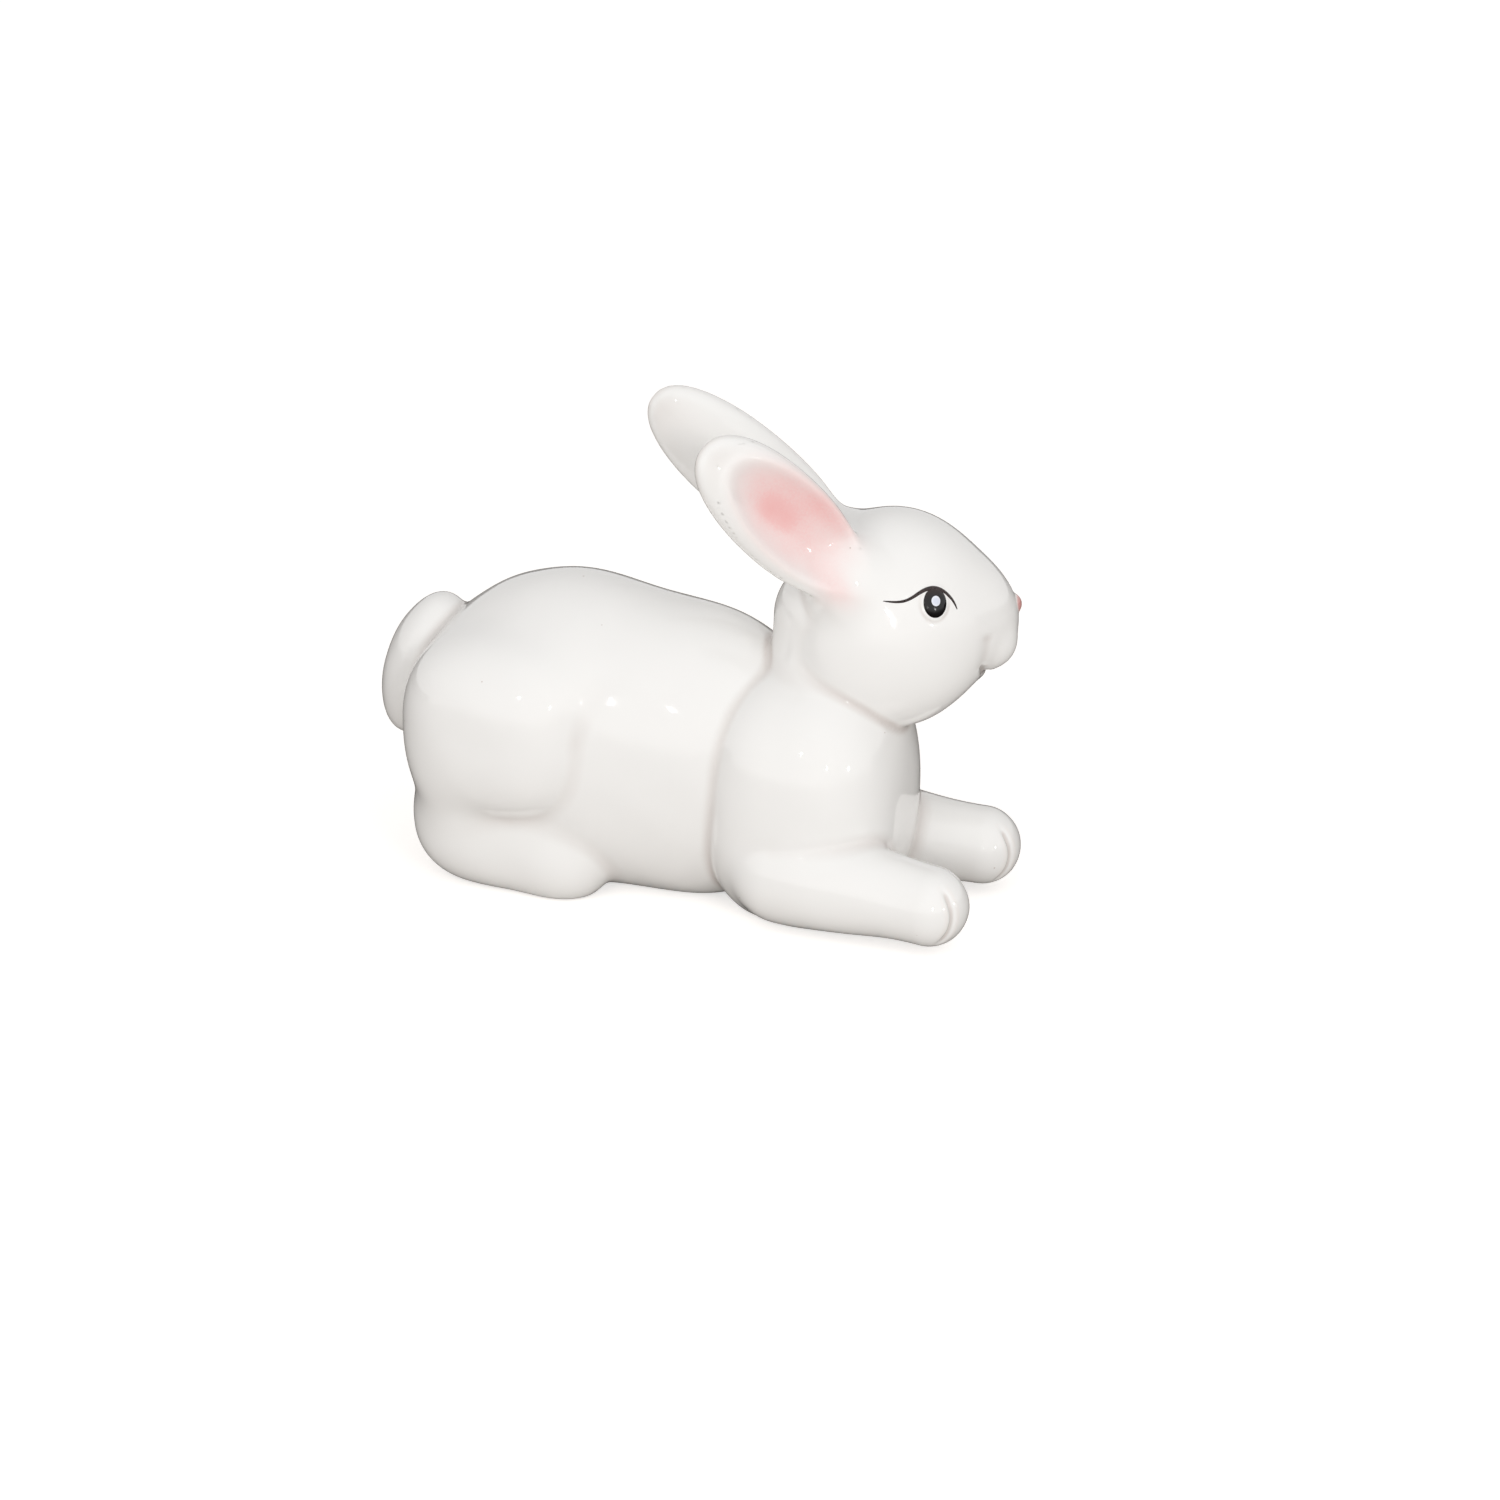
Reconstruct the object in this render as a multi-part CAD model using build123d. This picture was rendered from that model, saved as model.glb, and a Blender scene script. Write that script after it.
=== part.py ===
from build123d import *
from math import acos, degrees
import os

# A glazed earthenware rabbit that lies on its belly with its head turned to its left.
# +X runs from the tail to the paws, +Y is the rabbit's left and +Z is up. The origin is on
# the table, under the middle of the trunk. Lengths are in millimetres and angles in degrees.
# The castings are luted together with slip before firing, so each meets its neighbours
# face to face. Each touch of colour is a thin layer of its own.

# Clay walls, paint and the vent in the base
wall = 4.0
base_wall = 4.5
paint_thickness = 0.3
blush_depth = 0.5
vent_bore = 5.0
vent_back = 11.0
overrun = 200.0

# Trunk, from rump to shoulders, with its middle over the origin
trunk_half_length = 50.0
trunk_half_width = 27.0
trunk_half_height = 36.6
trunk_sink = 1.2

# Rings along the trunk: how far along it, half width, underside and back
trunk_shares = (
    (-0.985, 0.17, -0.17, 0.17),
    (-0.93, 0.38, -0.38, 0.38),
    (-0.8, 0.66, -0.68, 0.67),
    (-0.54, 0.91, -0.92, 0.92),
    (-0.2, 1.0, -1.0, 1.0),
    (0.2, 0.92, -0.98, 0.89),
    (0.54, 0.82, -0.91, 0.75),
    (0.8, 0.62, -0.71, 0.53),
    (0.93, 0.38, -0.48, 0.29),
    (0.985, 0.17, -0.27, 0.06),
)
trunk_front_share = -0.1

# Chest and shoulders
chest_half_length = 23.8
chest_half_width = 26.2
chest_half_height = 31.5
chest_sink = 4.0
chest_forward_share = 0.888

# Neck, a short stem that leans to the left under the head
neck_root_radius = 16.5
neck_top_radius = 12.5
neck_length = 26.0
neck_lean = 1.0
neck_forward_share = 0.17
neck_left_share = 0.04
neck_up_share = 0.46

# Hind legs, a round haunch over a long foot, set in from the end of the rump
haunch_half_length = 25.4
haunch_half_width = 18.5
haunch_half_height = 23.9
haunch_setback = 27.8
haunch_rise = 25.4
haunch_side_share = 0.537
foot_half_length = 23.4
foot_half_width = 13.4
foot_half_height = 14.4
foot_sink = 1.3
foot_setback = 26.7
foot_side_share = 0.459
toe_half_length = 11.2
toe_half_width = 9.5
toe_half_height = 11.0
toe_sink = 2.5
toe_forward_share = 0.568
toe_side_share = 0.194

# Forelegs, tapered from the shoulder to the round paw
shoulder_radius = 12.2
shoulder_lift = 0.8
shoulder_side_share = 0.615
paw_radius = 9.0
paw_lift = 1.3
foreleg_reach = 34.5
foreleg_spread = 3.8

# Tail, a scut that leans against the rump and sits a little above the haunches' middle
tail_half_length = 9.2
tail_half_width = 11.5
tail_half_height = 18.0
tail_pitch = 19.0
tail_back_share = 1.004
tail_rise = 7.5

# Head, set out from the middle of the skull
head_turn = 26.0
head_forward_share = 0.614
head_left_share = 0.369
skull_half_length = 25.75
skull_half_width = 20.4
skull_half_height = 23.9

# Rings along the skull, from its back to the muzzle: the same four shares
skull_shares = (
    (-0.985, 0.36, -0.36, 0.15),
    (-0.95, 0.57, -0.51, 0.37),
    (-0.87, 0.71, -0.67, 0.57),
    (-0.7, 0.85, -0.85, 0.79),
    (-0.48, 0.96, -0.96, 0.93),
    (-0.22, 1.0, -1.0, 1.0),
    (0.04, 0.98, -0.96, 0.98),
    (0.28, 0.89, -0.83, 0.88),
    (0.5, 0.73, -0.68, 0.71),
    (0.68, 0.57, -0.58, 0.55),
    (0.82, 0.43, -0.48, 0.41),
    (0.92, 0.3, -0.36, 0.27),
    (0.98, 0.15, -0.21, 0.11),
)
skull_front_share = -0.055
ear_boss_half_length = 10.7
ear_boss_half_width = 9.7
ear_boss_half_height = 11.7
ear_boss_pitch = 30.0
ear_boss_back_share = 0.542
ear_boss_side_share = 0.402
ear_boss_up_share = 0.439
lip_half_length = 6.7
lip_half_width = 5.6
lip_half_height = 7.3
lip_forward_share = 0.705
lip_side_share = 0.167
lip_down_share = 0.209
chin_half_length = 6.6
chin_half_width = 5.6
chin_half_height = 5.2
chin_pitch = 30.0
chin_forward_share = 0.507
chin_down_share = 0.544
nose_half_length = 2.9
nose_half_width = 3.0
nose_half_height = 2.6
nose_forward_share = 0.899
nose_up_share = 0.1

# Ears, leaves that are scooped on their outer face and swept back
ear_half_width = 10.9
ear_half_thickness = 4.9
ear_root_depth = 5.0
ear_root_back_share = 0.706
ear_root_side_share = 0.662
ear_root_up_share = 0.623
ear_back = {"right": 29.6, "left": 37.3}
ear_out = {"right": 4.9, "left": 4.8}
ear_rise = {"right": 30.1, "left": 31.9}
ear_facing_forward_share = 0.15
ear_facing_up_share = 0.1
scoop_half_width = 9.6
scoop_half_depth = 6.6
scoop_lift = 6.4
scoop_slide = 6.0
scoop_shift = 1.6
scoop_run = 1.0
blush_length_share = 0.72
blush_width_share = 0.78

# Eyes, lash lines and the colour on the nose
eye_half_width = 2.9
eye_half_height = 3.6
eye_rise = 0.8
eye_depth = 1.6
eye_forward_share = 0.119
eye_up_share = 0.322
glint_radius = 1.15
glint_rise = 0.35
glint_up_share = 0.15
lash_width = 0.7
lash_forward_shares = (-4.45, -3.4, -2.6, -1.9, -1.2, -0.6, 0.05, 0.75, 1.35, 1.8, 2.0)
lash_up_shares = (0.2, 0.1, 0.1, 0.4, 0.78, 1.08, 1.18, 0.96, 0.5, 0.05, -0.4)
nose_paint_margin = 0.4

sides = {"right": -1, "left": 1}


def lofted(shares, back_end, front_end):
    """A smooth solid through elliptic rings along X, two long and as wide and high as its shares."""
    rings = []
    for station, half_width, bottom, top in shares:
        plane = Plane((station, 0, (bottom + top) / 2), x_dir=(0, 1, 0), z_dir=(1, 0, 0))
        rings.append(plane * Wire.make_ellipse(half_width, (top - bottom) / 2))
    return Solid.make_loft([Vertex(-1, 0, back_end), *rings, Vertex(1, 0, front_end)])


ball = Sphere(1)
trunk = lofted(trunk_shares, 0, trunk_front_share)
skull = lofted(skull_shares, (skull_shares[0][2] + skull_shares[0][3]) / 2, skull_front_share)


def form(unit, place, radii, inset=0):
    """A unit shape brought to its half sizes, less an inset, in its place."""
    return place * scale(unit, by=tuple(radius - inset for radius in radii))


def fused(forms, inset=0):
    """One solid of several forms that run into each other."""
    first, *others = [form(unit, place, radii, inset) for unit, place, radii in forms]
    return first.fuse(*others)


def tapered(start, end, start_radius, end_radius, inset=0):
    """A round-ended tapered limb, turned about the line between its two centres."""
    line = Vector(*end) - Vector(*start)
    near = start_radius - inset
    far = end_radius - inset
    slope = degrees(acos((near - far) / line.length))
    back = CenterArc((0, 0), near, 180, slope - 180)
    front = CenterArc((line.length, 0), far, slope, -slope)
    profile = Wire([back, Line(back @ 1, front @ 0), front, Line(front @ 1, back @ 0)])
    limb = revolve(make_face(profile), Axis.X)
    return Plane(Vector(*start), x_dir=line, z_dir=line.cross(Vector(0, 1, 0))).location * limb


# Body: trunk, chest and neck in one casting, hollow, with a flat base
trunk_z = trunk_half_height - trunk_sink
chest_x = chest_forward_share * trunk_half_length
chest_z = chest_half_height - chest_sink
body_forms = [
    (trunk, Pos(0, 0, trunk_z), (trunk_half_length, trunk_half_width, trunk_half_height)),
    (ball, Pos(chest_x, 0, chest_z), (chest_half_length, chest_half_width, chest_half_height)),
]
neck_root = (
    chest_x + neck_forward_share * chest_half_length,
    neck_left_share * chest_half_width,
    chest_z + neck_up_share * chest_half_height,
)
neck_top = (neck_root[0], neck_root[1] + neck_lean, neck_root[2] + neck_length)
neck_hollow = tapered(neck_root, neck_top, neck_root_radius, neck_top_radius, wall)
body_outer = fused(body_forms).fuse(tapered(neck_root, neck_top, neck_root_radius, neck_top_radius))
body_hollow = fused(body_forms, wall).fuse(neck_hollow)
table = Pos(0, 0, -overrun / 2) * Box(overrun, overrun, overrun)
body_outer = body_outer - table
body_hollow = body_hollow - Pos(0, 0, base_wall) * table
vent = Pos(-vent_back, 0, base_wall / 2) * Cylinder(vent_bore / 2, 2 * base_wall)

# Head: skull, ear bosses, lips and chin in one casting, in the head's own frame
head_place = Pos(
    neck_top[0] + head_forward_share * skull_half_length,
    neck_top[1] + head_left_share * skull_half_width,
    neck_top[2],
) * Rot(0, 0, head_turn)


def on_head(forward_share, side_share, up_share):
    """A place in the head's frame, as shares of the skull's half sizes."""
    return Pos(
        forward_share * skull_half_length, side_share * skull_half_width, up_share * skull_half_height
    )


skull_forms = [(skull, Pos(0, 0, 0), (skull_half_length, skull_half_width, skull_half_height))]
for side in (-1, 1):
    boss_place = on_head(-ear_boss_back_share, side * ear_boss_side_share, ear_boss_up_share)
    boss_radii = (ear_boss_half_length, ear_boss_half_width, ear_boss_half_height)
    skull_forms.append((ball, boss_place * Rot(0, -ear_boss_pitch, 0), boss_radii))
chin_place = on_head(chin_forward_share, 0, -chin_down_share) * Rot(0, -chin_pitch, 0)
face_forms = [(ball, chin_place, (chin_half_length, chin_half_width, chin_half_height))]
for side in (-1, 1):
    lip_place = on_head(lip_forward_share, side * lip_side_share, -lip_down_share)
    face_forms.append((ball, lip_place, (lip_half_length, lip_half_width, lip_half_height)))
nose_place = on_head(nose_forward_share, 0, nose_up_share)
face_forms.append((ball, nose_place, (nose_half_length, nose_half_width, nose_half_height)))
head_outer = fused(skull_forms + face_forms)
head_hollow = fused(skull_forms, wall)
head_painted = fused(skull_forms + face_forms, -paint_thickness)
body_near_head = head_place.inverse() * body_outer

pieces = {}
pieces["torso_casting"] = body_outer - head_place * head_outer - body_hollow - vent
pieces["head_casting"] = head_place * (head_outer - head_hollow) - neck_hollow


def halfspace(side):
    """Everything on one side of the rabbit's middle plane."""
    return Pos(0, side * overrun / 2, 0) * Box(overrun, overrun, overrun)


# Haunches and hind feet, one of each a side
rump_x = -trunk_half_length
foot_z = foot_half_height - foot_sink
haunch_z = foot_z + haunch_rise
haunches = {}
for name, side in sides.items():
    haunch_place = Pos(rump_x + haunch_setback, side * haunch_side_share * trunk_half_width, haunch_z)
    haunches[name] = form(ball, haunch_place, (haunch_half_length, haunch_half_width, haunch_half_height))
    foot_place = Pos(rump_x + foot_setback, side * foot_side_share * trunk_half_width, foot_z)
    toe_place = Pos(
        foot_place.position.X + toe_forward_share * foot_half_length,
        foot_place.position.Y + side * toe_side_share * foot_half_width,
        toe_half_height - toe_sink,
    )
    foot = fused([
        (ball, foot_place, (foot_half_length, foot_half_width, foot_half_height)),
        (ball, toe_place, (toe_half_length, toe_half_width, toe_half_height)),
    ])
    pieces[name + "_haunch"] = (haunches[name] & halfspace(side)) - body_outer
    pieces[name + "_hind_foot"] = (foot & halfspace(side)) - table - body_outer - haunches[name]

# Forelegs
for name, side in sides.items():
    shoulder = (chest_x, side * shoulder_side_share * chest_half_width, shoulder_radius + shoulder_lift)
    paw = (chest_x + foreleg_reach, shoulder[1] + side * foreleg_spread, paw_radius + paw_lift)
    foreleg = tapered(shoulder, paw, shoulder_radius, paw_radius)
    pieces[name + "_foreleg"] = foreleg - body_outer

# Tail
tail_place = Pos(tail_back_share * rump_x, 0, haunch_z + tail_rise) * Rot(0, tail_pitch, 180)
tail = form(ball, tail_place, (tail_half_length, tail_half_width, tail_half_height))
pieces["tail"] = tail - body_outer - haunches["right"] - haunches["left"]

# Ears, each with the pink that is sprayed into its scoop
for name, side in sides.items():
    root = on_head(-ear_root_back_share, side * ear_root_side_share, ear_root_up_share).position
    along = Vector(-ear_back[name], side * ear_out[name], ear_rise[name])
    facing = Vector(ear_facing_forward_share, side, ear_facing_up_share)
    facing = facing - along * (facing.dot(along) / along.dot(along))
    middle = root + along.normalized() * ((along.length - ear_root_depth) / 2)
    half_length = (along.length + ear_root_depth) / 2
    ear_place = Plane(middle, x_dir=along, z_dir=facing).location
    scoop_place = ear_place * Pos(-scoop_slide, -side * scoop_shift, scoop_lift)
    scoop_radii = (half_length + scoop_run, scoop_half_width, scoop_half_depth)
    leaf = form(ball, ear_place, (half_length, ear_half_width, ear_half_thickness))
    scoop = form(ball, scoop_place, scoop_radii)
    pink = form(ball, scoop_place, scoop_radii, -blush_depth) - scoop
    pink_radii = (blush_length_share * half_length, blush_width_share * ear_half_width, scoop_lift)
    pink = pink & form(ball, scoop_place * Pos(0, 0, -scoop_lift), pink_radii) & leaf
    pieces[name + "_ear"] = head_place * (leaf - scoop - pink - head_outer - body_near_head)
    pieces[name + "_ear_blush"] = head_place * (pink - head_outer - body_near_head)

# Eyes with their glints, and the line painted over each
for name, side in sides.items():
    ray = Axis(on_head(eye_forward_share, 0, eye_up_share).position, (0, side, 0))
    spot, outward = head_outer.find_intersection_points(ray)[-1]
    eye_place = Plane(spot, x_dir=(-side, 0, 0), z_dir=outward).location
    eye_radii = (eye_half_width, eye_half_height, eye_depth)
    eye = form(ball, eye_place * Pos(0, 0, eye_rise - eye_depth), eye_radii)
    glint_place = eye_place * Pos(0, glint_up_share * eye_half_height, eye_rise)
    glint = form(ball, glint_place, (glint_radius, glint_radius, glint_rise))
    route = [
        (-side * forward_share * eye_half_width, up_share * eye_half_height)
        for forward_share, up_share in zip(lash_forward_shares, lash_up_shares)
    ]
    stroke = eye_place * trace(Spline(*route), line_width=lash_width)
    band = extrude(stroke, amount=skull_half_width / 2, dir=outward, both=True)
    pieces[name + "_eye"] = head_place * (eye - head_outer)
    pieces[name + "_eye_glint"] = head_place * (glint - eye - head_outer)
    pieces[name + "_lash_line"] = head_place * ((head_painted & band) - head_outer - eye)

# Nose: a touch of pink over the tip
nose_radii = [radius + nose_paint_margin for radius in (nose_half_length, nose_half_width, nose_half_height)]
pieces["nose"] = head_place * ((head_painted & form(ball, nose_place, nose_radii)) - head_outer)

os.makedirs("parts", exist_ok=True)
for name, piece in pieces.items():
    export_step(piece, f"parts/{name}.step")
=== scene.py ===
import math

import bmesh
import bpy
import numpy as np
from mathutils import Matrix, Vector


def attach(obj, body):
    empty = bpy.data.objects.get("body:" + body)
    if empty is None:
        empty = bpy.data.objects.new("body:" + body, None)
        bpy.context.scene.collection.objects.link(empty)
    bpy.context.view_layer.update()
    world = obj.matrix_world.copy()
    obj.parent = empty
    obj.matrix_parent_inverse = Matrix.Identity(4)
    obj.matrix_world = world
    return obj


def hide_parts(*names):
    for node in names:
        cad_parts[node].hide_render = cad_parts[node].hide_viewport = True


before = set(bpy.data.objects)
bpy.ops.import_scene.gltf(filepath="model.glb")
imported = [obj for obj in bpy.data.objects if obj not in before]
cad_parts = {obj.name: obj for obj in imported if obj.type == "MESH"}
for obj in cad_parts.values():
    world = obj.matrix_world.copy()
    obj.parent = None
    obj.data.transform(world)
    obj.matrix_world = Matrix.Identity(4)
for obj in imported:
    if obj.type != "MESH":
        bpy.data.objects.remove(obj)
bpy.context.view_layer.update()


# Torso casting: trunk, chest and neck of the rabbit in one slip-cast shell of
# white earthenware. The legs, tail and head are luted on to it with slip.
# Every form below is a signed distance in millimetres in the CAD frame.
tiny = 1e-9


def turned(yaw=0.0, pitch=0.0):
    """Forward, left and up directions of a form. Yaw turns it to the left, pitch lifts its front."""
    y, p = math.radians(yaw), math.radians(pitch)
    about_z = np.array([[math.cos(y), -math.sin(y), 0], [math.sin(y), math.cos(y), 0], [0, 0, 1]])
    about_y = np.array([[math.cos(p), 0, -math.sin(p)], [0, 1, 0], [math.sin(p), 0, math.cos(p)]])
    return (about_z @ about_y).T


def egg(points, centre, radii, axes=None, fullness=2.0):
    """Distance to an ellipsoid. A fullness above 2 squares its shoulders."""
    local = points - np.array(centre, float)
    if axes is not None:
        local = local @ axes.T
    radii = np.array(radii, float)
    reach = np.abs(local) / radii + tiny
    size = (reach ** fullness).sum(-1) ** (1 / fullness)
    slope = np.sqrt((((reach / size[..., None]) ** (fullness - 1) / radii) ** 2).sum(-1)) + tiny
    return (size - 1) / slope


def along(points, start, end):
    """Share of the way from start to end that is nearest each point, and the distance to it."""
    start, run = np.array(start, float), np.array(end, float) - np.array(start, float)
    share = np.clip((points - start) @ run / (run @ run), 0, 1)
    return share, np.sqrt(((points - start - share[..., None] * run) ** 2).sum(-1))


def limb(points, start, end, start_radius, end_radius):
    """Distance to a round-ended tapered limb."""
    share, distance = along(points, start, end)
    return distance - start_radius - (end_radius - start_radius) * share * share * (3 - 2 * share)


def merge(a, b, width):
    """Union of two forms with a filleted crease of that width."""
    overlap = np.maximum(width - np.abs(a - b), 0) / width
    return np.minimum(a, b) - overlap ** 3 * width / 6


def ramp(value, low, high):
    """0 below low, 1 above high and smooth between."""
    share = np.clip((value - low) / (high - low), 0, 1)
    return share * share * (3 - 2 * share)


def modelled(points, forms, side=1):
    """The forms of one casting, each blended into those before it. Side -1 mirrors them."""
    total = None
    for form in forms:
        x, y, z = form["centre"]
        axes = turned(0, form["pitch"]) if "pitch" in form else None
        shape = egg(points, (x, side * y, z), form["radii"], axes, form.get("fullness", 2.0))
        total = shape if total is None else merge(total, shape, form["blend"])
    return total


wall = 4.0
vent_centre, vent_radius = (-11.0, 0.0), 2.5
trunk_forms = [
    dict(centre=(-12.5, 0, 35.5), radii=(37.5, 27, 36.8)),
    dict(centre=(14, 0, 33.3), radii=(36.5, 24, 34.6), pitch=-9, blend=12),
]
chest_forms = [dict(centre=(44.4, 0, 27), radii=(23.6, 26, 31), fullness=2.5)]
neck_start, neck_end, neck_radii = (48.5, 1, 42), (48, 2, 68), (16.5, 12.5)
neck_blend = 5.0
shoulder_crease = 1.8
base_round = 1.5


def trunk(points):
    return modelled(points, trunk_forms)


def chest(points):
    return merge(modelled(points, chest_forms), limb(points, neck_start, neck_end, *neck_radii), neck_blend)


# Haunches: the two round thighs, cast apart and luted to the trunk's flanks.
# Their joint is smoothed away over the back and left as a soft crease in front.
haunch_forms = [dict(centre=(-23.2, 14.6, 39.8), radii=(24.0, 18.6, 21.8), fullness=2.5)]
haunch_crease, haunch_fairing = 2.5, 9.0
fairing_low, fairing_high = 40.0, 60.0
haunch_space = (-70, -60, -20), (30, 60, 85)


# Hind feet: long and low, tucked under the haunches, flat where they stand.
# Their heels are faired into the rump in one curve.
hind_foot_forms = [
    dict(centre=(-23.3, 12.4, 13.4), radii=(23.2, 13.2, 14.6), fullness=2.3),
    dict(centre=(-10, 15, 8.8), radii=(11, 9.4, 10.6), blend=8),
]
foot_crease, heel_fairing = 4.0, 16.0
heel_front, heel_back = 18.0, 42.0
foot_space = (-70, -60, -30), (30, 60, 55)


# Tail: a scut leaned against the rump and luted along its whole inside, with
# a soft crease round it.
tail_forms = [dict(centre=(-50, 0, 46), radii=(9.2, 11.5, 18), pitch=-19)]
tail_crease = 4.0
tail_space = (-90, -40, 0), (-10, 40, 95)


# Forelegs: two tapered limbs stretched along the table, with rounded paws.
# Two shallow grooves are drawn over the end of each paw while the clay is soft.
shoulder, shoulder_radius = (44, 16, 13), 12.2
paw, paw_radius = (79.0, 19.8, 10.5), 9.0
foreleg_crease = 4.0
toe_offset, toe_width, toe_depth = 4.4, 0.7, 0.55
toe_start, toe_full = 3.6, 6.2
foreleg_space = (10, -60, -30), (115, 60, 60)


def foreleg_line(side):
    return np.array((shoulder[0], side * shoulder[1], shoulder[2])), np.array((paw[0], side * paw[1], paw[2]))


def foreleg(points, side):
    start, end = foreleg_line(side)
    return limb(points, start, end, shoulder_radius, paw_radius)


def toe_grooves(points, side):
    """Depth of the drawn grooves, which run over the paw's end in upright planes."""
    start, end = foreleg_line(side)
    forward = (end - start) / np.linalg.norm(end - start)
    across = np.cross((0, 0, 1), forward)
    local = points - end
    ahead, aside = local @ forward, local @ across
    near = ramp(ahead, toe_start, toe_full) * (np.abs(local).max(-1) < 2 * paw_radius)
    lines = sum(np.exp(-((aside - offset) / toe_width) ** 2) for offset in (-toe_offset, toe_offset))
    return toe_depth * near * lines


# Head: a skull, two ear bosses, a short muzzle, lips, chin and nose in one
# slip-cast shell, turned to the rabbit's left and luted on to the neck. Its
# mouth is one thin line cut in the soft clay, between two whisker pads.
head_centre = np.array((62.0, 8.5, 69.5))
head_axes = turned(yaw=26)
head_forms = [
    dict(centre=(-1.6, 0, 1), radii=(21.4, 18.5, 21.7)),
    dict(centre=(-2.6, 7.2, -7.2), radii=(20.6, 13.2, 18.2), pitch=8, blend=7, pair=True),
    dict(centre=(-11.5, 8.2, 9), radii=(10.5, 9.5, 11.5), pitch=30, blend=6, pair=True),
    dict(centre=(11.5, 0, -2), radii=(15.9, 12.5, 14.2), pitch=-28, blend=9),
    dict(centre=(19.6, 3.9, -7.2), radii=(6.5, 5.7, 6.7), blend=1.8, pair=True),
    dict(centre=(24.9, 0, -0.3), radii=(2.9, 3.0, 2.6), blend=0.9),
    dict(centre=(14.0, 0, -14.3), radii=(6.3, 5.5, 5), pitch=30, blend=2.2),
]
neck_crease = 2.2
head_space = (-12, -45, 30), (105, 50, 140)
mouth_middle = (19.6, 0, -12.8)
mouth_half = [(19.0, 2.8, -13.2), (16.6, 6.2, -12.0), (14.6, 8.6, -10.2), (13.0, 10.2, -8.8)]
mouth_width, mouth_depth = 0.8, 1.5
pad_route = [(14.0, 9.4, -10.5), (14.3, 9.4, -8.0), (14.8, 9.2, -5.5), (15.4, 8.8, -2.5)]
pad_width, pad_depth = 2.2, 0.3
groove_reach, groove_runout = 14, 0.35
flattest = 0.04


def on_side(side, places):
    """Places of the rabbit's left, on that side of the middle."""
    return [(x, side * y, z) for x, y, z in places]


def mirrored(forms):
    """The forms with each one of a pair followed by its twin on the other side."""
    for form in forms:
        yield form
        if form.get("pair"):
            yield dict(form, centre=on_side(-1, [form["centre"]])[0])


def to_head(points):
    return (points - head_centre) @ head_axes.T


def from_head(local):
    return head_centre + np.array(local, float) @ head_axes


def skull(points):
    return modelled(to_head(points), list(mirrored(head_forms)))


def probed(form, points, reach=0.02):
    """Value and gradient of a form at the points, from four places close round each."""
    value, slope = 0.0, 0.0
    for corner in np.array(((1, -1, -1), (-1, -1, 1), (-1, 1, -1), (1, 1, 1))):
        reading = form(points + corner * reach)
        value = value + reading / 4
        slope = slope + reading[:, None] * corner / (4 * reach)
    return value, slope


def unit(slopes):
    """The gradients as directions."""
    return slopes / np.maximum(np.linalg.norm(slopes, axis=-1), tiny)[..., None]


def settled(form, points, level=0.0, steps=3):
    """The points brought on to the form's surface, or to that depth under it."""
    for _ in range(steps):
        value, slope = probed(form, points)
        short = (value - level) / np.maximum((slope * slope).sum(1), flattest)
        points = points - short[:, None] * slope
    return points


def traced(route):
    """A drawn route, given in the head's own directions, laid on the skull."""
    return settled(skull, from_head(route), steps=6)


mouth_line = traced(on_side(-1, mouth_half[::-1]) + [mouth_middle] + mouth_half)
pad_folds = [traced(on_side(side, pad_route)) for side in (-1, 1)]


def groove(points, route, width, depth):
    """Depth of a groove along a route, which runs out at both ends."""
    cut = np.zeros(points.shape[:-1])
    near = np.abs(points - route.mean(0)).max(-1) < groove_reach
    if near.any():
        spots = points[near]
        deepest = np.zeros(len(spots))
        spans = len(route) - 1
        for i in range(spans):
            share, distance = along(spots, route[i], route[i + 1])
            fade = ramp(1 - np.abs((i + share) / spans * 2 - 1), 0.0, groove_runout)
            deepest = np.maximum(deepest, fade * np.exp(-(distance / width) ** 2))
        cut[near] = depth * deepest
    return cut


def mouth_cut(points):
    """The mouth, and the soft fold behind each whisker pad."""
    cut = groove(points, mouth_line, mouth_width, mouth_depth)
    for fold in pad_folds:
        cut = np.maximum(cut, groove(points, fold, pad_width, pad_depth))
    return cut


# Ears: two leaves pressed in a mould, scooped on their outer face and luted to
# the bosses of the head, swept back. The left one lies a little flatter.
ear_root = {-1: (-15, -13.5, 14), 1: (-15, 13.5, 14)}
ear_tip = {-1: (-42.5, -18, 42), 1: (-50, 18, 44)}
ear_facing = (0.15, 1, 0.1)
ear_width, ear_thickness, ear_fullness = 10.8, 4.8, 2.2
ear_extra, ear_slide, ear_shift = 4.0, 1.0, 1.0
scoop_width, scoop_depth, scoop_extra = 10.1, 6.6, 5.0
scoop_lift, scoop_slide, scoop_shift = 6.4, 6.0, 1.4
scoop_edge = 1.6
ear_crease = 6.0


def ear_place(side):
    """Middle of an ear, its length, and its directions: along, across and outwards."""
    root, tip = np.array(ear_root[side], float), np.array(ear_tip[side], float)
    length = np.linalg.norm(tip - root)
    up_ear = (tip - root) / length
    outward = np.array((ear_facing[0], side * ear_facing[1], ear_facing[2]))
    outward = outward - up_ear * (outward @ up_ear)
    outward /= np.linalg.norm(outward)
    axes = np.array([up_ear, np.cross(up_ear, outward), outward])
    return root + up_ear * (length / 2 - ear_slide) + axes[1] * side * ear_shift, length, axes


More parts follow.
